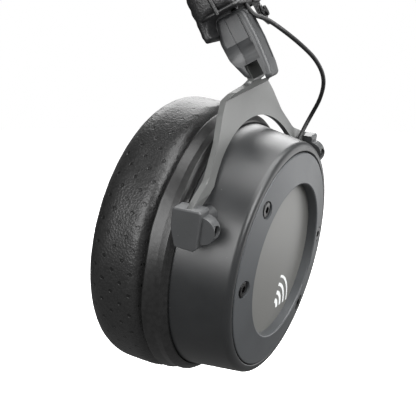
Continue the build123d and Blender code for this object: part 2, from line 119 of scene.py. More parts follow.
def add_node(tree: Tree, kind: str, settings: dict | None = None, links: dict | None = None) -> bpy.types.Node:
    """Adds one shader node.

    Args:
        tree: the material's node tree.
        kind: the node's class without its "ShaderNode" prefix.
        settings: values by attribute name, or by socket name or number.
        links: output sockets by the input name or number that they feed.

    Returns:
        The new node.
    """
    node = tree.nodes.new("ShaderNode" + kind)
    for name, value in (settings or {}).items():
        if isinstance(name, str) and hasattr(node, name):
            setattr(node, name, value)
        else:
            node.inputs[name].default_value = value
    for name, socket in (links or {}).items():
        tree.links.new(socket, node.inputs[name])
    return node


def on_piece(tree: Tree) -> bpy.types.NodeSocket:
    """A socket that gives the place on the piece, in metres."""
    return add_node(tree, "TexCoord").outputs["Object"]


@dataclass(frozen=True)
class Finish:
    """A surface of the headphones: patches that handling leaves over a fine relief. Every finish below is one."""

    name: str
    colour: str
    worn: str
    roughness: float = 0.5
    patch: float = 14 * MM       # how far apart the patches are
    wear: float = 0.5            # how much of the worn colour shows
    spread: float = 0.08         # how far the roughness moves either way
    cell: float = 0.5 * MM       # how wide the relief's grains are
    detail: float = 2.0          # how much finer noise the relief holds
    strength: float = 0.2        # how much of the relief shows
    depth: float = 0.01 * MM     # how deep the relief is

    def material(self) -> bpy.types.Material:
        """The finish's material, made once.

        Returns:
            The material, named for the real one.
        """
        found = bpy.data.materials.get(self.name)
        if found:
            return found
        made = bpy.data.materials.new(self.name)
        made.use_nodes = True
        tree = made.node_tree
        tree.nodes.clear()
        shader = add_node(tree, "BsdfPrincipled")
        add_node(tree, "OutputMaterial", links={"Surface": shader.outputs["BSDF"]})
        self.shade(tree, shader)
        made.diffuse_color = linear(self.colour)
        return made

    def shade(self, tree: Tree, shader: bpy.types.Node) -> bpy.types.Node:
        """Builds the patches and the relief.

        Args:
            tree: the material's node tree.
            shader: the shader to feed.

        Returns:
            The node that mixes the two colours.
        """
        mix = self.mottle(tree, shader)
        self.emboss(tree, shader, self.relief(tree))
        return mix

    def relief(self, tree: Tree) -> bpy.types.NodeSocket:
        """The relief's height, which is fine noise."""
        scale = {"Scale": 1 / self.cell, "Detail": self.detail}
        return add_node(tree, "TexNoise", scale, {"Vector": on_piece(tree)}).outputs["Fac"]

    def mottle(self, tree: Tree, shader: bpy.types.Node) -> bpy.types.Node:
        """Slow changes of colour and gloss over the surface, as handling leaves them.

        Args:
            tree: the material's node tree.
            shader: the shader to feed.

        Returns:
            The node that mixes the two colours.
        """
        patches = add_node(tree, "TexNoise", {"Scale": 1 / self.patch, "Detail": 4.0, "Roughness": 0.55},
                           {"Vector": on_piece(tree)})
        share = add_node(tree, "MapRange", {"From Min": 0.35, "From Max": 0.7, "To Max": self.wear},
                         {"Value": patches.outputs["Fac"]})
        mix = add_node(tree, "MixRGB", {1: linear(self.colour), 2: linear(self.worn)}, {0: share.outputs["Result"]})
        span = {"To Min": self.roughness - self.spread, "To Max": self.roughness + self.spread}
        gloss = add_node(tree, "MapRange", span, {"Value": patches.outputs["Fac"]})
        tree.links.new(mix.outputs["Color"], shader.inputs["Base Color"])
        tree.links.new(gloss.outputs["Result"], shader.inputs["Roughness"])
        return mix

    def emboss(self, tree: Tree, shader: bpy.types.Node, height: bpy.types.NodeSocket) -> None:
        """Raises the surface by the relief's strength and depth."""
        bump = add_node(tree, "Bump", {"Strength": self.strength, "Distance": self.depth}, {"Height": height})
        tree.links.new(bump.outputs["Normal"], shader.inputs["Normal"])


@dataclass(frozen=True)
class MouldedPlastic(Finish):
    """Injection-moulded ABS from a spark-eroded mould: satin, with a fine even grain and a few dust specks."""

    cell: float = 0.45 * MM      # the real grain is about 0.1 mm, drawn coarser so that it shows
    detail: float = 3.0
    strength: float = 0.35
    depth: float = 0.018 * MM
    dust: float = 0.25           # how much a speck shows
    dust_pitch: float = 5 * MM

    def shade(self, tree: Tree, shader: bpy.types.Node) -> bpy.types.Node:
        """Builds the patches, the grain and the dust over them.

        Args:
            tree: the material's node tree.
            shader: the shader to feed.

        Returns:
            The node that lays the dust on the colour.
        """
        mix = super().shade(tree, shader)
        cells = add_node(tree, "TexVoronoi", {"Scale": 1 / self.dust_pitch, "Randomness": 1.0},
                         {"Vector": on_piece(tree)})
        speck = add_node(tree, "MapRange", {"From Min": 0.035, "From Max": 0.02, "To Max": self.dust},
                         {"Value": cells.outputs["Distance"]})
        dusty = add_node(tree, "MixRGB", {2: linear("9a9a98")},
                         {0: speck.outputs["Result"], 1: mix.outputs["Color"]})
        tree.links.new(dusty.outputs["Color"], shader.inputs["Base Color"])
        shader.inputs["IOR"].default_value = 1.5
        return dusty


@dataclass(frozen=True)
class CoatedSteel(Finish):
    """Sheet steel with a baked satin coat: faintly cloudy, with the coat's fine orange peel."""

    patch: float = 11 * MM
    wear: float = 0.6
    spread: float = 0.05
    cell: float = 0.8 * MM
    metallic: float = 0.35

    def shade(self, tree: Tree, shader: bpy.types.Node) -> bpy.types.Node:
        """Builds the coat over its metal."""
        shader.inputs["Metallic"].default_value = self.metallic
        return super().shade(tree, shader)


@dataclass(frozen=True)
class BareMetal(Finish):
    """Drawn or turned metal: bright, with fine lines left by the tool."""

    patch: float = 6 * MM
    spread: float = 0.06
    cell: float = 1.875 * MM     # the length of a tool line
    slender: float = 12.0        # how many times longer than wide a line is
    strength: float = 0.15

    def shade(self, tree: Tree, shader: bpy.types.Node) -> bpy.types.Node:
        """Builds the patches and the tool lines."""
        shader.inputs["Metallic"].default_value = 1.0
        return super().shade(tree, shader)

    def relief(self, tree: Tree) -> bpy.types.NodeSocket:
        """The height of the tool lines.

        Args:
            tree: the material's node tree.

        Returns:
            A socket with the height.
        """
        stretched = add_node(tree, "Mapping", {"Scale": (1.0, 1.0, self.slender)}, {"Vector": on_piece(tree)})
        lines = add_node(tree, "TexNoise", {"Scale": 1 / self.cell, "Detail": self.detail},
                         {"Vector": stretched.outputs["Vector"]})
        return lines.outputs["Fac"]


@dataclass(frozen=True)
class Leatherette(Finish):
    """Polyurethane on knit: soft sheen, fine pebbles between shallow creases, and punched holes on the pads."""

    patch: float = 16 * MM
    wear: float = 0.7
    spread: float = 0.06
    cell: float = 0.75 * MM      # a pebble's width
    strength: float = 0.55
    depth: float = 0.12 * MM
    warp: float = 1.2 * MM       # how far the pebbles stray from an even lattice
    warp_size: float = 2.5 * MM
    fold_size: float = 4.5 * MM
    fold_height: float = 1.6     # in pebble heights
    grain: Grain = Grain.PLAIN
    hole_radius: float = 0.64 * MM
    hole_edge: float = 0.08 * MM     # the width that a hole's rim fades over, either way
    hole_pitch: Point = (7.9 * MM, 6.7 * MM)   # around the pad and across its side, with a staggered row between
    hole_depth: float = 6.0          # in pebble heights

    def shade(self, tree: Tree, shader: bpy.types.Node) -> bpy.types.Node:
        """Builds the pebbles, the creases darkened with painted shade and, on a perforated hide, the holes, painted
        near-black as painted shade.

        Args:
            tree: the material's node tree.
            shader: the shader to feed.

        Returns:
            The node that mixes the two colours.
        """
        mix = self.mottle(tree, shader)
        pebbles = self.pebbles(tree)
        folds = add_node(tree, "TexNoise", {"Scale": 1 / self.fold_size, "Detail": 5.0, "Roughness": 0.6},
                         {"Vector": on_piece(tree)})
        height = add_node(tree, "Math", {"operation": "MULTIPLY_ADD", 1: self.fold_height},
                          {0: folds.outputs["Fac"], 2: pebbles})
        # painted shade: the colour is darkened in the creases between the pebbles, on top of the bump that sinks them
        crease_shade = add_node(tree, "MapRange", {"From Max": 0.55, "To Min": 0.55}, {"Value": pebbles})
        crease_shaded = add_node(tree, "MixRGB", {"blend_type": "MULTIPLY", 0: 0.8},
                           {1: mix.outputs["Color"], 2: crease_shade.outputs["Result"]})
        colour, relief = crease_shaded.outputs["Color"], height.outputs["Value"]
        if self.grain is Grain.PERFORATED:
            hole = self.hole(tree)
            # painted shade: each hole is painted near-black for the shade in its depth, and the bump below only sinks
            # it
            hole_shaded = add_node(tree, "MixRGB", {2: linear("050505")}, {0: hole, 1: colour})
            sunk = add_node(tree, "Math", {"operation": "MULTIPLY_ADD", 1: -self.hole_depth}, {0: hole, 2: relief})
            colour, relief = hole_shaded.outputs["Color"], sunk.outputs["Value"]
        tree.links.new(colour, shader.inputs["Base Color"])
        self.emboss(tree, shader, relief)
        shader.inputs["IOR"].default_value = 1.5
        return mix

    def pebbles(self, tree: Tree) -> bpy.types.NodeSocket:
        """The pebbles pressed in the hide, with the creases between them.

        Args:
            tree: the material's node tree.

        Returns:
            A socket that is one on top of a pebble and falls to nought in a crease.
        """
        place = on_piece(tree)
        stray = add_node(tree, "TexNoise", {"Scale": 1 / self.warp_size, "Detail": 2.0}, {"Vector": place})
        bent = add_node(tree, "VectorMath", {"operation": "SCALE", "Scale": self.warp}, {0: stray.outputs["Color"]})
        moved = add_node(tree, "VectorMath", {"operation": "ADD"}, {0: place, 1: bent.outputs["Vector"]})
        cells = add_node(tree, "TexVoronoi", {"feature": "SMOOTH_F1", "Scale": 1 / self.cell, "Smoothness": 0.4},
                         {"Vector": moved.outputs["Vector"]})
        tops = add_node(tree, "MapRange", {"From Max": 0.75, "To Min": 1.0, "To Max": 0.0},
                        {"Value": cells.outputs["Distance"]})
        return tops.outputs["Result"]

    def hole(self, tree: Tree) -> bpy.types.NodeSocket:
        """A staggered lattice of punched holes on the piece's own UV map, which is in metres.

        Args:
            tree: the material's node tree.

        Returns:
            A socket that is one inside a hole.
        """
        def step(operation: str, value: Place, socket: bpy.types.NodeSocket) -> bpy.types.NodeSocket:
            """One vector operation on a socket, with a fixed second value."""
            return add_node(tree, "VectorMath", {"operation": operation, 1: value}, {0: socket}).outputs["Vector"]

        pitch = (*self.hole_pitch, 1.0)
        cells = step("DIVIDE", pitch, add_node(tree, "UVMap", {"uv_map": "hide"}).outputs["UV"])
        rows = []
        for shift in (0.0, 0.5):
            moved = step("ADD", (shift, shift, 0.0), cells)
            part = add_node(tree, "VectorMath", {"operation": "FRACTION"}, {0: moved}).outputs["Vector"]
            sized = step("MULTIPLY", pitch, step("SUBTRACT", (0.5, 0.5, 0.0), part))
            rows.append(add_node(tree, "VectorMath", {"operation": "LENGTH"}, {0: sized}).outputs["Value"])
        nearest = add_node(tree, "Math", {"operation": "MINIMUM"}, dict(enumerate(rows)))
        rim = {"From Min": self.hole_radius + self.hole_edge, "From Max": self.hole_radius - self.hole_edge}
        inside = add_node(tree, "MapRange", rim, {"Value": nearest.outputs["Value"]})
        return inside.outputs["Result"]


@dataclass(frozen=True)
class OpenFoam(Finish):
    """Open-cell foam or needled cloth: matt, with a soft fuzz."""

    patch: float = 8 * MM
    wear: float = 0.6
    spread: float = 0.04
    cell: float = 0.6 * MM
    strength: float = 0.7
    depth: float = 0.15 * MM
    fuzz: float = 0.25

    def shade(self, tree: Tree, shader: bpy.types.Node) -> bpy.types.Node:
        """Builds the patches, the cells and the sheen."""
        shader.inputs["Sheen Weight"].default_value = self.fuzz
        return super().shade(tree, shader)

    def relief(self, tree: Tree) -> bpy.types.NodeSocket:
        """The height of the cells' walls."""
        place = {"Vector": on_piece(tree)}
        return add_node(tree, "TexVoronoi", {"Scale": 1 / self.cell}, place).outputs["Distance"]


@dataclass(frozen=True)
class Jacket(Finish):
    """Soft PVC lead jacket: matt black, faintly ribbed by its extruder."""

    patch: float = 5 * MM
    spread: float = 0.05
    cell: float = 0.6 * MM
    detail: float = 1.0
    depth: float = 0.02 * MM


@dataclass(frozen=True)
class PrintedSheet(Finish):
    """Screen-printed polycarbonate sheet: even satin, with the print's faint cloudiness."""

    patch: float = 22 * MM
    wear: float = 0.6
    spread: float = 0.05
    strength: float = 0.1


BLOCK = MouldedPlastic("grey moulded ABS", "3b3c3d", "454647", 0.42)
SHELL = MouldedPlastic("charcoal moulded ABS", "202122", "292a2b", 0.36)
RING = MouldedPlastic("slate moulded ABS", "404244", "484a4c", 0.42, depth=0.012 * MM, dust=0.15)
INSIDE = MouldedPlastic("black moulded ABS", "1b1b1c", "242425", 0.5)
FORK = CoatedSteel("satin coated sheet steel", "5f605f", "696a69", 0.36)
BLACK_STEEL = CoatedSteel("black oxide steel", "0d0d0e", "1a1a1b", 0.28, metallic=0.6)
STEEL = BareMetal("bright spring steel", "a9a9aa", "8e8e90", 0.3)
NICKEL = BareMetal("nickel plate", "b9b6ae", "a09d96", 0.22)
HIDE = Leatherette("black leatherette", "131314", "1b1b1c", 0.42)
PAD_HIDE = Leatherette("perforated leatherette", "1d1d1d", "262626", 0.42, grain=Grain.PERFORATED)
SKIRT_HIDE = Leatherette("smooth leatherette", "1a1a1a", "222222", 0.38, cell=1.6 * MM, depth=0.04 * MM)
FOAM = OpenFoam("charcoal open-cell foam", "1c1c1d", "262627", 0.95)
FLEECE = OpenFoam("needled polyester fleece", "b9b7b0", "a5a39c", 0.95)
LEAD = Jacket("black PVC jacket", "121213", "1d1d1e", 0.5)
SHEET = PrintedSheet("grey printed polycarbonate", "5e5e5c", "656562", 0.36)
INK = PrintedSheet("white screen ink", "e6e8e8", "dcdedd", 0.5)
FILM = PrintedSheet("amber polyester film", "b39a62", "a18a58", 0.2)


# --- meshes ---
def piece_of(name: str, bm: bmesh.types.BMesh, finish: Finish, place: Matrix | None = None,
             smooth: bool = True) -> bpy.types.Object:
    """Makes a bmesh a finished object with its place in its mesh.

    Args:
        name: the piece's name.
        bm: its mesh, which is freed.
        finish: what it is made of.
        place: the frame that its mesh was built in.
        smooth: whether its faces shade smoothly, with sharp edges kept by angle.

    Returns:
        The new object.
    """
    bmesh.ops.remove_doubles(bm, verts=bm.verts, dist=0.002 * MM)
    if place is not None:
        bmesh.ops.transform(bm, matrix=place, verts=bm.verts)
    bmesh.ops.recalc_face_normals(bm, faces=bm.faces)
    mesh = bpy.data.meshes.new(name)
    bm.to_mesh(mesh)
    bm.free()
    mesh.materials.append(finish.material())
    piece = bpy.data.objects.new(name, mesh)
    bpy.context.scene.collection.objects.link(piece)
    if smooth:
        mesh.shade_smooth()
        mesh.set_sharp_from_angle(angle=math.radians(42))
    LOG.info("made %s: %d faces", name, len(mesh.polygons))
    return piece


def lathe(profile: Sequence[Point], steps: int = 160, closed: bool = True) -> bmesh.types.BMesh:
    """Spins an outline about X.

    Args:
        profile: corners as (x, radius).
        steps: faces round the turn.
        closed: whether the outline's last corner joins its first.

    Returns:
        The spun mesh.
    """
    bm = bmesh.new()
    corners = [bm.verts.new((x, 0.0, radius)) for x, radius in profile]
    pairs = list(zip(corners, corners[1:] + corners[:1] if closed else corners[1:]))
    edges = [bm.edges.new(pair) for pair in pairs]
    bmesh.ops.spin(bm, geom=corners + edges, cent=(0, 0, 0), axis=(1, 0, 0), dvec=(0, 0, 0),
                   angle=math.tau, steps=steps, use_merge=True, use_duplicate=False)
    return bm


def rounded(profile: Sequence[Point], radii: Sequence[float], steps: int = 6) -> list[Point]:
    """Rounds the corners of a closed outline.

    Args:
        profile: the corners.
        radii: the radius of each corner.
        steps: points on each arc.

    Returns:
        The outline with its arcs.
    """
    result = []
    for before, corner, after, radius in zip(profile[-1:] + profile[:-1], profile, profile[1:] + profile[:1], radii):
        here = Vector(corner)
        into, out = (Vector(before) - here).normalized(), (Vector(after) - here).normalized()
        half = into.angle(out) / 2
        if radius <= 0 or half > math.radians(88):
            result.append(corner)
            continue
        reach = radius / math.tan(half)
        centre = here + (into + out).normalized() * (radius / math.sin(half))
        start, end = here + into * reach - centre, here + out * reach - centre
        for step in range(steps + 1):
            result.append(tuple(centre + start.slerp(end, step / steps).normalized() * radius))
    return result


def tube(points: Sequence[Vector], radius: float, sides: int = 14, closed: bool = False) -> bmesh.types.BMesh:
    """Sweeps a round section along points, its rings bridged one to the next.

    Args:
        points: the centreline.
        radius: the tube's radius.
        sides: faces round it.
        closed: whether the line is a loop.

    Returns:
        The tube's mesh, its ends closed unless it is a loop.
    """
    bm = bmesh.new()
    count = len(points)
    side = Vector((0, 0, 1))
    rings = []
    for number, point in enumerate(points):
        ahead = points[(number + 1) % count] if closed else points[min(number + 1, count - 1)]
        behind = points[number - 1] if closed or number else points[0]
        along = (ahead - behind).normalized()
        side = (side - along * side.dot(along)).normalized() if abs(side.dot(along)) < 0.999 else along.orthogonal()
        turned = Matrix((side, along.cross(side), along)).transposed().to_4x4()
        ring = bmesh.ops.create_circle(bm, segments=sides, radius=radius, matrix=Matrix.Translation(point) @ turned)
        rings.append(ring["verts"])
    loops = [list(dict.fromkeys(edge for vertex in ring for edge in vertex.link_edges)) for ring in rings]
    for first, second in zip(loops, loops[1:] + (loops[:1] if closed else [])):
        bmesh.ops.bridge_loops(bm, edges=first + second)
    if not closed:
        for ring in (rings[0], rings[-1]):
            bm.faces.new(ring)
    return bm


def arc_points(centre: Vector, radius: float, start: float, end: float, count: int, across: float) -> list[Vector]:
    """Points on an arc about Y, its angles from the top."""
    angles = [math.radians(start + (end - start) * n / (count - 1)) for n in range(count)]
    return [centre + Vector((radius * math.sin(a), across, radius * math.cos(a))) for a in angles]


def smoothstep(low: float, high: float, value: float) -> float:
    """A smooth rise from nought at low to one at high."""
    share = min(1.0, max(0.0, (value - low) / (high - low)))
    return share * share * (3 - 2 * share)


def baked(piece: bpy.types.Object) -> bpy.types.Object:
    """Applies a piece's modifiers to its mesh.

    Args:
        piece: the piece, which keeps its name and place.

    Returns:
        The same piece, without modifiers.
    """
    graph = bpy.context.evaluated_depsgraph_get()
    mesh = bpy.data.meshes.new_from_object(piece.evaluated_get(graph), depsgraph=graph)
    piece.modifiers.clear()
    old, piece.data = piece.data, mesh
    bpy.data.meshes.remove(old)
    return piece


def swell(piece: bpy.types.Object, pressure: float, cap: float, held: Callable[[Vector], bool],
          frames: int = 20) -> None:
    """Pushes a closed cover out with cloth simulation, as the foam in it does.

    Args:
        piece: the cover.
        pressure: what the foam pushes with.
        cap: how far a point may move.
        held: says whether a point is glued down.
        frames: how long the simulation runs.
    """
    start = [v.co.copy() for v in piece.data.vertices]
    pins = piece.vertex_groups.new(name="glued")
    pins.add([n for n, co in enumerate(start) if held(co)], 1.0, "REPLACE")
    cloth = piece.modifiers.new("swell", "CLOTH")
    rules = cloth.settings
    rules.vertex_group_mass = pins.name
    rules.use_pressure, rules.uniform_pressure_force = True, pressure
    rules.effector_weights.gravity = 0.0
    rules.quality, rules.mass = 6, 0.15
    rules.tension_stiffness = rules.compression_stiffness = 12.0
    rules.shear_stiffness, rules.bending_stiffness = 6.0, 0.6
    cloth.point_cache.frame_start, cloth.point_cache.frame_end = 1, frames
    for number in range(1, frames + 1):
        bpy.context.scene.frame_set(number)
    baked(piece)
    bpy.context.scene.frame_set(1)
    for vertex, origin in zip(piece.data.vertices, start):
        move = vertex.co - origin
        vertex.co = origin + move * min(1.0, cap / max(move.length, 1e-9))
    piece.vertex_groups.clear()


def inflate(piece: bpy.types.Object, voxel: float, pressure: float, cap: float,
            held: Callable[[Vector], bool]) -> None:
    """Args:
        piece: the cover, a little small.
        voxel: the size of its mesh's faces.
        pressure: what the foam pushes with.
        cap: how far a point may move.
        held: says whether a point is glued down.
    """
    grid = piece.modifiers.new("grid", "REMESH")
    grid.mode, grid.voxel_size, grid.use_smooth_shade = "VOXEL", voxel, True
    baked(piece)
    swell(piece, pressure, cap, held)
    finer = piece.modifiers.new("finer", "SUBSURF")
    finer.levels = finer.render_levels = 1
    baked(piece)
    piece.data.shade_smooth()
    LOG.info("swelled %s: %d faces", piece.name, len(piece.data.polygons))


def dress(node: str, finish: Finish, edge: float = 0.0) -> None:
    """Gives a CAD node its finish and, if asked, the small round that its edges really have.

    Args:
        node: the node's name.
        finish: what it is made of.
        edge: the width of the edges' round.
    """
    piece = frame["nodes"][node]
    piece.data.materials.clear()
    piece.data.materials.append(finish.material())
    if edge:
        weld = piece.modifiers.new("weld", "WELD")
        weld.merge_threshold = 0.001 * MM
        flat = piece.modifiers.new("flat", "DECIMATE")
        flat.decimate_type, flat.angle_limit = "DISSOLVE", math.radians(0.4)
        round_off = piece.modifiers.new("edges", "BEVEL")
        round_off.width, round_off.segments, round_off.limit_method = edge, 3, "ANGLE"
        round_off.angle_limit = math.radians(28)
        round_off.harden_normals = True
    LOG.info("dressed %s in %s", node, finish.name)


def middle(node: str) -> Vector:
    """The middle of a CAD node's box."""
    low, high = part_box(node)
    return (low + high) / 2


def joint(name: str) -> dict:
    """One of the record's joints."""
    return next(j for j in frame["joints"] if j["name"] == name)


# --- studio ---
@dataclass(frozen=True)
class Softbox:
    """A square soft light."""

    name: str
    offset: Place            # from what it lights
    size: float              # the length of its side
    power: float             # in watts

    def hang(self, aim: Vector) -> None:
        """Hangs the light and turns it on its aim.

        Args:
            aim: what it lights.
        """
        data = bpy.data.lights.new(self.name, "AREA")
        data.size, data.energy = self.size, self.power
        made = bpy.data.objects.new(self.name, data)
        made.location = aim + Vector(self.offset)
        made.rotation_euler = (-Vector(self.offset)).to_track_quat("-Z", "Y").to_euler()
        bpy.context.scene.collection.objects.link(made)


@dataclass
class Studio:
    """A pale, evenly lit floor, soft lights and the camera."""

    azimuth: float = 14.4
    elevation: float = 13.0
    lens: float = 86.5
    eye: Vector = field(default_factory=lambda: Vector((58.4, -329.64, 95.2)) * MM)   # from the right cup's face
    floor_drop: float = 150 * MM
    floor_radius: float = 1.6
    floor_glow: float = 0.85
    sky_light: float = 0.2       # what the sky lights with; it shows at full white
    lights: tuple[Softbox, ...] = (
        Softbox("key", (0.28, 0.05, 0.75), 0.8, 12.0),
        Softbox("window", (0.75, -0.25, 0.35), 0.5, 7.5),
        Softbox("back", (-0.2, 0.75, 0.5), 0.6, 6.0),
        Softbox("side", (0.58, 0.7, -0.05), 0.6, 2.2),
        Softbox("front", (-0.15, -0.8, 0.3), 0.6, 8.0),
    )

    def build(self, face: Vector) -> None:
        """Sets up the studio.

        Args:
            face: the middle of the right cup's cover ring.
        """
        self.camera(face)
        for light in self.lights:
            light.hang(face)
        self.floor()
        self.sky()
        bpy.context.scene.view_settings.view_transform = "Standard"

    def camera(self, face: Vector) -> None:
        """Stands the camera at the cup's outer rear quarter.

        Args:
            face: the middle of the right cup's cover ring.
        """
        data = bpy.data.cameras.new("camera")
        data.lens, data.sensor_width = self.lens, 36.0
        data.clip_start, data.clip_end = 0.01, 20.0
        made = bpy.data.objects.new("camera", data)
        a, e = math.radians(self.azimuth), math.radians(self.elevation)
        back = Vector((math.sin(a) * math.cos(e), -math.cos(a) * math.cos(e), math.sin(e)))
        made.location = face + self.eye
        made.rotation_euler = (-back).to_track_quat("-Z", "Y").to_euler()
        bpy.context.scene.collection.objects.link(made)
        bpy.context.scene.camera = made

    def floor(self) -> None:
        """Lays the pale floor."""
        bm = bmesh.new()
        bmesh.ops.create_circle(bm, cap_ends=True, segments=96, radius=self.floor_radius)
        bmesh.ops.translate(bm, verts=bm.verts, vec=(0, 0, cad_box[0].z - self.floor_drop))
        mesh = bpy.data.meshes.new("floor")
        bm.to_mesh(mesh)
        bm.free()
        paper = bpy.data.materials.new("white paper")
        paper.use_nodes = True
        shader = paper.node_tree.nodes["Principled BSDF"]
        shader.inputs["Base Color"].default_value = linear("fbfbfb")
        shader.inputs["Roughness"].default_value = 0.9
        shader.inputs["Emission Color"].default_value = linear("ffffff")
        shader.inputs["Emission Strength"].default_value = self.floor_glow
        mesh.materials.append(paper)
        made = bpy.data.objects.new("floor", mesh)
        made.visible_diffuse = made.visible_glossy = False
        bpy.context.scene.collection.objects.link(made)

    def sky(self) -> None:
        """Surrounds the set with white that lights it softly and shows as clean white."""
        world = bpy.data.worlds.new("white sweep")
        bpy.context.scene.world = world
        world.use_nodes = True
        tree = world.node_tree
        tree.nodes.clear()
        seen = add_node(tree, "LightPath").outputs["Is Camera Ray"]
        strength = add_node(tree, "MapRange", {"To Min": self.sky_light, "To Max": 1.0}, {"Value": seen})
        light = add_node(tree, "Background", {"Color": linear("ffffff")}, {"Strength": strength.outputs["Result"]})
        add_node(tree, "OutputWorld", links={"Surface": light.outputs["Background"]})


# --- frames of the sub-assemblies ---
@dataclass
class CupFrame:
    """A cup's own frame: X out along its axis from the cover ring's outer edge, Y to the front, Z up."""

    side: Side
    inlay_depth: float = 1.8 * MM

    def matrix(self) -> Matrix:
        """The frame's place in the headset.

        Returns:
            The matrix that takes the cup's frame to the headset's.
        """
        inlay, baffle = middle(self.side.node("cover_inlay")), middle(self.side.node("baffle"))
        out = (inlay - baffle).normalized()
        front = Vector(joint(self.side.node("tilt"))["axis"])
        front = (front - out * front.dot(out)).normalized()
        front *= 1 if front.y > 0 else -1
        up = out.cross(front)
        up *= 1 if up.z > 0 else -1
        turned = Matrix((out, front, up)).transposed().to_4x4()
        return Matrix.Translation(inlay + out * self.inlay_depth) @ turned


@dataclass
class BlockFrame:
    """An end block's frame: Z up along the tongue, X outwards, from the bend at the tongue's foot."""

    side: Side

    def matrix(self) -> Matrix:
        """The frame's place in the headset.

        Returns:
            The matrix that takes the block's frame to the headset's.
        """
        up = -Vector(joint(self.side.node("slide"))["axis"])
        front = Vector((0, 1, 0))
        out = front.cross(up)
        out *= 1 if out.x * self.side.sign > 0 else -1
        turned = Matrix((out, front, up)).transposed().to_4x4()
        return Matrix.Translation(Vector(joint(self.side.node("swivel"))["pos_m"])) @ turned


# --- cup lead ---
@dataclass
class CupLead:
    """The lead from the headband pad's end, out in a loop and into the cup's bush."""

    side: Side
    radius: float = 0.75 * MM
    stretches: tuple[str, ...] = ("lead_upper", "lead_middle", "lead_lower")
    joins: tuple[float, ...] = (0.0, 0.39, 0.61, 1.0)     # where the stretches meet, as shares of the length
    route: tuple[Place, ...] = (
        (83.87, -5.0, -37.95), (85.84, -5.0, -41.66), (90.7, -5.1, -42.8), (95.9, -2.6, -46.6), (100.7, 4.0, -51.5),
        (104.5, 14.0, -57.2), (105.9, 25.5, -64.6), (103.2, 36.0, -72.6), (99.1, 41.5, -79.5), (96.06, 39.76, -85.61),
        (94.32, 35.43, -90.83))

    def line(self) -> list[Vector]:
        """The lead's smooth centreline, read from its spline.

        Returns:
            Points from the pad's end to the bush.
        """
        data = bpy.data.curves.new("lead_route", "CURVE")
        data.dimensions = "3D"
        spline = data.splines.new("NURBS")
        spline.points.add(len(self.route) - 1)
        for point, (x, y, z) in zip(spline.points, self.route):
            point.co = (x * MM * self.side.sign, y * MM, z * MM, 1.0)
        spline.order_u, spline.use_endpoint_u, spline.resolution_u = 3, True, 10
        curve = bpy.data.objects.new("lead_route", data)
        bpy.context.scene.collection.objects.link(curve)
        graph = bpy.context.evaluated_depsgraph_get()
        mesh = bpy.data.meshes.new_from_object(curve.evaluated_get(graph))
        points = [v.co.copy() for v in mesh.vertices]
        bpy.data.objects.remove(curve)
        bpy.data.meshes.remove(mesh)
        return points

    def build(self) -> None:
        """Makes the lead in three stretches."""
        points = self.line()
        run = [0.0]
        for a, b in zip(points, points[1:]):
            run.append(run[-1] + (b - a).length)
        pieces, spans = [], []
        for name, low, high in zip(self.stretches, self.joins, self.joins[1:]):
            first = max(n for n, at in enumerate(run) if at <= low * run[-1] + 1e-9)
            last = min(n for n, at in enumerate(run) if at >= high * run[-1] - 1e-9)
            spans.append((points[first:last + 1], run[last] - run[first]))
            pieces.append(piece_of(self.side.node(name), tube(spans[-1][0], self.radius), LEAD))
        bodies = ["headband", *(self.side.node(body) for body in ("slider", "fork", "cup"))]
        for piece, (span, _), above, below in zip(pieces, spans, bodies, bodies[1:]):
            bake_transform(piece)
        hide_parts(self.side.node("cup_lead"))


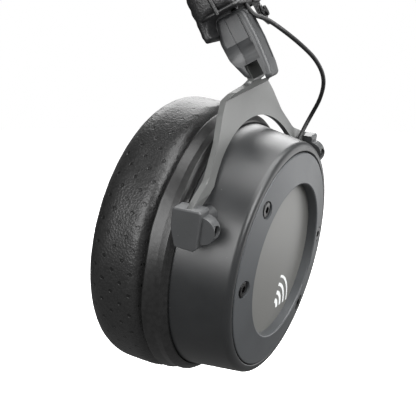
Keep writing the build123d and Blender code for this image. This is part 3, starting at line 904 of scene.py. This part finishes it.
# --- headband ---
@dataclass
class Headband:
    """The padded sleeve over the spring band, with its binding, seams and studs."""

    centre: Vector = field(default_factory=lambda: Vector((0, 0, -83.0 * MM)))
    inner: float = 83.0 * MM
    outer: float = 96.2 * MM
    half_width: float = 18.5 * MM
    half_angle: float = 62.0
    under_angle: float = 66.5         # where the underside ends, behind the end blocks
    bulge: float = 3.4 * MM           # how far the underside swells beside the end blocks
    wrinkle_depth: float = 0.35 * MM
    binding_radius: float = 0.62 * MM
    piping_radius: float = 0.7 * MM
    flap_edge_radius: float = 0.45 * MM
    tab_size: Point = (12.8, 10.4)    # in millimetres, as the tab's places are
    tab_middle: Place = (9.25, 8.5, 19.3)
    body: str = "headband"

    def section(self, low: float, high: float, half: float, soft: float) -> list[Point]:
        """A rounded section, as (across, radius)."""
        corners = [(-half, low), (half, low), (half, high), (-half, high)]
        return rounded(corners, [soft] * 4, 4)

    def spun(self, bm: bmesh.types.BMesh, section: Sequence[Point], spread: float, steps: int = 90) -> None:
        """Spins a section along the band and closes its ends.

        Args:
            bm: the mesh to add to.
            section: corners as (across, radius).
            spread: how far the section runs either side of the top, in degrees.
            steps: faces along the run.
        """
        ring = [bm.verts.new(self.centre + Vector((0, across, radius))) for across, radius in section]
        edges = [bm.edges.new(pair) for pair in zip(ring, ring[1:] + ring[:1])]
        bmesh.ops.rotate(bm, verts=ring, cent=self.centre, matrix=Matrix.Rotation(math.radians(-spread), 3, "Y"))
        start = list(ring)
        done = bmesh.ops.spin(bm, geom=ring + edges, cent=self.centre, axis=(0, 1, 0), dvec=(0, 0, 0),
                              angle=math.radians(2 * spread), steps=steps, use_merge=False, use_duplicate=False)
        end = [item for item in done["geom_last"] if isinstance(item, bmesh.types.BMVert)]
        bm.faces.new(start)
        bmesh.ops.contextual_create(bm, geom=end)

    def pad(self) -> bpy.types.Object:
        """The sleeve swollen over its foam, its underside running on behind the end blocks.

        Returns:
            The sleeve.
        """
        bm = bmesh.new()
        tight = 0.6 * MM
        self.spun(bm, self.section(self.inner + tight, self.outer - tight, self.half_width - tight, 3.6 * MM),
                  self.half_angle - 0.3)
        self.spun(bm, self.section(self.inner + tight, self.inner + 3.2 * MM, self.half_width - 1.2 * MM, 1.2 * MM),
                  self.under_angle)
        for vertex in bm.verts:
            arm = vertex.co - self.centre
            reach = Vector((arm.x, 0, arm.z))
            angle = abs(math.degrees(math.atan2(reach.x, reach.z)))
            inside = 1 - smoothstep(self.inner + 2 * MM, self.inner + 8 * MM, reach.length)
            vertex.co -= reach.normalized() * self.bulge * smoothstep(46, 61, angle) * inside
        piece = piece_of("headband_pad", bm, HIDE)
        ends = self.half_angle - 2.5

        def held(point: Vector) -> bool:
            """Whether a point is at an end, where the sleeve is glued to the band."""
            arm = point - self.centre
            return abs(math.degrees(math.atan2(arm.x, arm.z))) > ends

        inflate(piece, 1.8 * MM, 3.0, 0.9 * MM, held)
        self.wrinkle(piece)
        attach(piece, self.body)
        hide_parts("band_pad", "band_foam")
        return piece

    def wrinkle(self, piece: bpy.types.Object) -> None:
        """Draws shallow wrinkles across the sleeve's inner side, where the bend crowds the leatherette.

        Args:
            piece: the sleeve.
        """
        for vertex in piece.data.vertices:
            arm = vertex.co - self.centre
            reach = math.hypot(arm.x, arm.z)
            angle = math.atan2(arm.x, arm.z)
            inside = 1 - smoothstep(self.inner + 3 * MM, self.inner + 9 * MM, reach)
            wave = noise.noise(Vector((angle * 42, arm.y / (22 * MM), 3.0)))
            lift = self.wrinkle_depth * wave * (0.25 + inside)
            vertex.co += Vector((arm.x, 0, arm.z)).normalized() * lift

    def binding(self, side: Side) -> None:
        """The bound edge of the sleeve's mouth.

        Args:
            side: the end of the headband that it is at.
        """
        block = BlockFrame(side).matrix()
        inner, outer, half, height = -4.2, 9.4, 18.2, 22.9
        mouth = rounded([(inner, -half), (outer, -half), (outer, half), (inner, half)], [3.4] * 4, 8)
        loop = [block @ (Vector((x, y, height)) * MM) for x, y in mouth]
        self.add(side.node("mouth_binding"), tube(loop, self.binding_radius, 10, closed=True))

    def seams(self) -> None:
        """The two piped seams along the sleeve's edges and the closing flap's stitched edge."""
        for name, across in (("rear_piping", -1), ("front_piping", 1)):
            line = arc_points(self.centre, self.inner + 5.6 * MM, -self.half_angle, self.half_angle, 90,
                              across * (self.half_width + 0.35 * MM))
            self.add(name, tube(line, self.piping_radius, 10))
        line = arc_points(self.centre, self.outer + 0.35 * MM, -self.half_angle, self.half_angle, 90, 1.6 * MM)
        self.add("flap_edge", tube(line, self.flap_edge_radius, 8))

    def add(self, name: str, bm: bmesh.types.BMesh) -> None:
        """Adds one leatherette trim to the headband.

        Args:
            name: the trim's name.
            bm: its mesh.
        """
        piece = piece_of(name, bm, HIDE)
        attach(piece, self.body)

    def tab(self, side: Side) -> None:
        """The closing flap's end, which hangs past the sleeve's mouth under its last stud.

        Args:
            side: the end of the headband that it is at.
        """
        x, y, z = self.tab_middle
        width, height = self.tab_size
        bm = bmesh.new()
        bmesh.ops.create_grid(bm, x_segments=10, y_segments=10, size=1.0)
        for vertex in bm.verts:
            across, up = vertex.co.x * width / 2, vertex.co.y * height / 2
            taper = 1 - 0.35 * smoothstep(0.2, 1.0, -vertex.co.y)
            curl = 1.1 * smoothstep(0.0, 1.0, -vertex.co.y) ** 2
            vertex.co = Vector((x + curl, y + across * taper, z + up)) * MM
        bmesh.ops.solidify(bm, geom=bm.faces, thickness=0.9 * MM)
        piece = piece_of(side.node("flap_end"), bm, HIDE, BlockFrame(side).matrix())
        soften = piece.modifiers.new("soften", "SUBSURF")
        soften.levels = soften.render_levels = 1
        baked(piece)
        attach(piece, self.body)

    def build(self) -> None:
        """Makes the headband and dresses what the CAD gives."""
        self.pad()
        self.seams()
        for side in Side:
            self.binding(side)
            self.tab(side)
            for part in ("band_rivets", "detent_spring"):
                dress(side.node(part), STEEL)
            for part in ("block_outer", "block_inner"):
                dress(side.node(part), BLOCK, 0.3 * MM)
        dress("spring_band", STEEL, 0.1 * MM)
        dress("cross_lead", LEAD)
        dress("band_snaps", BLACK_STEEL, 0.3 * MM)


# --- fork ---
@dataclass
class Fork:
    """The sheet steel fork with its shoe, pin and brackets."""

    side: Side

    def build(self) -> None:
        """Dresses the fork's pieces."""
        dress(self.side.node("fork"), FORK, 0.55 * MM)
        dress(self.side.node("slide_shoe"), INSIDE, 0.2 * MM)
        dress(self.side.node("swivel_pin"), STEEL, 0.1 * MM)
        for part in ("front_bracket", "rear_bracket"):
            dress(self.side.node(part), BLOCK, 0.35 * MM)
        dress(self.side.node("bracket_screws"), BLACK_STEEL, 0.12 * MM)


# --- cup ---
@dataclass
class Cup:
    """A cup with its housing, cover ring, inlay, ear pad and what they hold."""

    side: Side
    back: float = -26.3 * MM          # the baffle's face, which the pad lies on
    thickness: float = 25.6 * MM
    hole: float = 28.5 * MM           # the radius of the pad's opening
    radius: float = 49.2 * MM
    lip: float = 45.8 * MM            # the radius of the flange that the skirt grips
    soft: float = 9.0 * MM            # the round of the pad's front edges
    flare_end: float = 6.2 * MM       # how far the skirt's edge lies past the baffle's face
    holes_round: int = 39             # punched holes in one row round the pad
    cloth_rings: int = 5
    mark_radii: tuple[float, ...] = (3.4, 6.4, 9.4, 12.4)

    def __post_init__(self) -> None:
        """Works out the cup's frame and body."""
        self.place = CupFrame(self.side).matrix()
        self.body = self.side.node("cup")

    def add(self, name: str, bm: bmesh.types.BMesh, finish: Finish, slot: str) -> bpy.types.Object:
        """Adds one piece to the cup.

        Args:
            name: the piece's name without its side.
            bm: its mesh in the cup's frame.
            finish: what it is made of.
            slot: not used.

        Returns:
            The new object, riding on the cup.
        """
        piece = piece_of(self.side.node(name), bm, finish, self.place)
        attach(piece, self.body)
        return piece

    def ear_pad(self) -> None:
        """The ring pad: a foam-filled leatherette cover, creased where it turns under to the skirt."""
        tight = 0.7 * MM                  # what the foam then swells it by
        front = self.back - self.thickness + tight
        inner, outer = self.hole + tight, self.radius - tight
        foot, crease = self.back - 0.1 * MM, self.lip - 1.6 * MM
        corners = [(foot, inner + 2 * MM), (self.back - 3 * MM, inner), (front, inner), (front, outer),
                   (self.back - 4.6 * MM, outer), (self.back - 1.9 * MM, crease), (foot, crease)]
        radii = [0, 1.5 * MM, self.soft, self.soft, 2.6 * MM, 0.8 * MM, 0]
        piece = piece_of(self.side.node("pad_cover"), lathe(rounded(corners, radii), 120), PAD_HIDE, self.place)
        into_cup = self.place.inverted()

        def held(point: Vector) -> bool:
            """Whether a point is glued to the baffle or held in the crease."""
            return (into_cup @ point).x > self.back - 3.2 * MM

        inflate(piece, 1.7 * MM, 4.0, 1.1 * MM, held)
        self.unwrap(piece)
        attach(piece, self.body)
        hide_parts(self.side.node("ear_pad"), self.side.node("pad_foam"))

    def unwrap(self, piece: bpy.types.Object) -> None:
        """Lays the pad's cover out flat: round the ring one way, round its section the other, in metres.

        Args:
            piece: the cover.
        """
        mesh = piece.data
        hide = mesh.uv_layers.new(name="hide")
        into_cup = self.place.inverted()
        points = [into_cup @ v.co for v in mesh.vertices]
        core_x, core_r = self.back - self.thickness / 2, (self.hole + self.radius) / 2
        half_x, half_r = self.thickness / 2, (self.radius - self.hole) / 2
        girth = self.holes_round * PAD_HIDE.hole_pitch[0]
        around = [math.atan2(p.z, p.y) / math.tau * girth for p in points]
        section = []
        for p in points:
            x, r = (p.x - core_x) / half_x, (math.hypot(p.y, p.z) - core_r) / half_r
            section.append(self.walk(x, r, half_x, half_r))
        lap = 2 * (2 * half_x + 2 * half_r)
        for face in mesh.polygons:
            first_u, first_v = around[face.vertices[0]], section[face.vertices[0]]
            for corner, vertex in zip(face.loop_indices, face.vertices):
                u, v = around[vertex], section[vertex]
                u += girth * round((first_u - u) / girth)
                v += lap * round((first_v - v) / lap)
                hide.data[corner].uv = (u, v)

    def walk(self, x: float, r: float, half_x: float, half_r: float) -> float:
        """How far round the pad's section a point lies.

        Args:
            x: where it is along the cup's axis, from -1 at the front to 1 at the back.
            r: where it is from the opening, -1, to the outer side, 1.
            half_x: half the section's thickness.
            half_r: half its width.

        Returns:
            The distance from the middle of the outer side, growing towards the front.
        """
        if abs(x) * half_x - half_x > abs(r) * half_r - half_r:
            along = half_x + (1 - r) * half_r
            return along if x < 0 else -along
        return -x * half_x if r > 0 else half_x + 2 * half_r + (1 + x) * half_x

    def skirt(self) -> None:
        """The smooth skirt that grips the flange, its flared edge a little wavy."""
        root, shell, edge = self.lip - 1.2 * MM, self.back + 4.5 * MM, self.back + self.flare_end
        corners = [(self.back - 1.3 * MM, root), (self.back - 2.0 * MM, self.lip + 1.15 * MM),
                   (self.back - 1.35 * MM, self.lip + 1.8 * MM), (self.back - 0.4 * MM, self.lip + 1.5 * MM),
                   (self.back + 1.8 * MM, self.lip + 0.8 * MM), (shell - 0.4 * MM, self.lip + 0.75 * MM),
                   (shell + 0.5 * MM, self.lip + 0.1 * MM), (edge, self.lip - 1.05 * MM),
                   (edge, self.lip - 1.75 * MM), (shell + 0.2 * MM, self.lip - 0.65 * MM),
                   (shell + 0.2 * MM, self.lip), (self.back + 0.1 * MM, self.lip), (self.back - 0.1 * MM, root)]
        radii = [0, 0.5 * MM, 0.45 * MM, 0.9 * MM, 1.6 * MM, 0.6 * MM, 0.4 * MM, 0.3 * MM, 0, 0, 0, 0, 0]
        bm = lathe(rounded(corners, radii, 4), 240)
        for vertex in bm.verts:
            turn = math.atan2(vertex.co.z, vertex.co.y)
            flare = smoothstep(self.lip + 0.6 * MM, self.lip + 1.6 * MM, math.hypot(vertex.co.y, vertex.co.z))
            spot = Vector((math.cos(turn) * 2.2, math.sin(turn) * 2.2, 0.5 * self.side.sign))
            fine = Vector((math.cos(turn) * 9.0, math.sin(turn) * 9.0, 2.0))
            vertex.co.x += flare * MM * (0.55 * noise.noise(spot) + 0.16 * noise.noise(fine))
            swell = 1 + flare * 0.006 * noise.noise(spot + Vector((0, 0, 4)))
            vertex.co.y *= swell
            vertex.co.z *= swell
        self.add("pad_skirt", bm, SKIRT_HIDE, "pad_leatherette")

    def pad_seams(self) -> None:
        """The seam round the pad's opening."""
        ring = self.hole + 1.0 * MM
        depth = self.back - self.thickness + 6.2 * MM
        turns = [math.tau * n / 120 for n in range(120)]
        seam = [Vector((depth, ring * math.cos(a), ring * math.sin(a))) for a in turns]
        self.add("pad_seam", tube(seam, 0.55 * MM, 10, closed=True), SKIRT_HIDE, "pad_leatherette")

    def ear_cloth(self) -> None:
        """The thin domed cloth over the driver."""
        bm = bmesh.new()
        radius = self.hole - 0.4 * MM
        bmesh.ops.create_circle(bm, cap_ends=True, segments=96, radius=radius)
        for _ in range(self.cloth_rings):
            face = max(bm.faces, key=lambda f: len(f.verts))
            bmesh.ops.inset_region(bm, faces=[face], thickness=radius * 0.19)
        for vertex in bm.verts:
            reach = math.hypot(vertex.co.x, vertex.co.y) / self.hole
            dome = 0.9 * MM * (1 - reach ** 2) + 0.08 * MM * noise.noise(vertex.co / (5 * MM))
            vertex.co = Vector((self.back - 1.6 * MM - dome, vertex.co.x, vertex.co.y))
        bmesh.ops.solidify(bm, geom=bm.faces, thickness=0.5 * MM)
        piece = self.add("ear_cloth", bm, FOAM, "foam")
        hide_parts(self.side.node("foam_disc"))

    def print_mark(self) -> None:
        """Four plain arcs printed on the inlay."""
        centre = Vector((-1.38, 1.0, -21.0)) * MM
        for number, radius in enumerate(self.mark_radii):
            bm = bmesh.new()
            half = (0.85 - 0.13 * number) * MM
            corners = [bm.verts.new(centre + Vector((0, radius * MM + d, 0))) for d in (-half, half)]
            bmesh.ops.rotate(bm, verts=corners, cent=centre, matrix=Matrix.Rotation(math.radians(-6), 3, "X"))
            edge = bm.edges.new(corners)
            bmesh.ops.spin(bm, geom=corners + [edge], cent=centre, axis=(1, 0, 0), dvec=(0, 0, 0),
                           angle=math.radians(76), steps=18, use_merge=False, use_duplicate=False)
            bmesh.ops.solidify(bm, geom=bm.faces, thickness=0.06 * MM)
            self.add(f"printed_arc_{number + 1}", bm, INK, "inlay_sheet")

    def build(self) -> None:
        """Makes the cup's soft pieces and dresses its CAD nodes."""
        self.ear_pad()
        self.skirt()
        self.pad_seams()
        self.ear_cloth()
        self.print_mark()
        finishes = {
            "cup_shell": (SHELL, 0.0), "cover_ring": (RING, 0.0), "ring_screws": (BLACK_STEEL, 0.12 * MM),
            "cover_inlay": (SHEET, 0.0), "damping_fleece": (FLEECE, 0.0), "driver_magnet": (NICKEL, 0.0),
            "driver_frame": (INSIDE, 0.0), "driver_diaphragm": (FILM, 0.0), "baffle": (INSIDE, 0.0),
            "lead_grommet": (LEAD, 0.0), "vent_plate": (INSIDE, 0.15 * MM), "bass_slider": (BLOCK, 0.3 * MM),
        }
        for part, (finish, edge) in finishes.items():
            dress(self.side.node(part), finish, edge)
        if self.side is Side.LEFT:
            dress("jack_socket", INSIDE, 0.2 * MM)


def main() -> None:
    """Builds the headphones and reports their pieces."""
    logging.basicConfig(level=logging.INFO, format="%(name)s: %(message)s")
    Studio().build(CupFrame(Side.RIGHT).matrix().translation)
    for piece in (*map(CupLead, Side), Headband(), *map(Fork, Side), *map(Cup, Side)):
        piece.build()


if __name__ == "__main__":
    main()
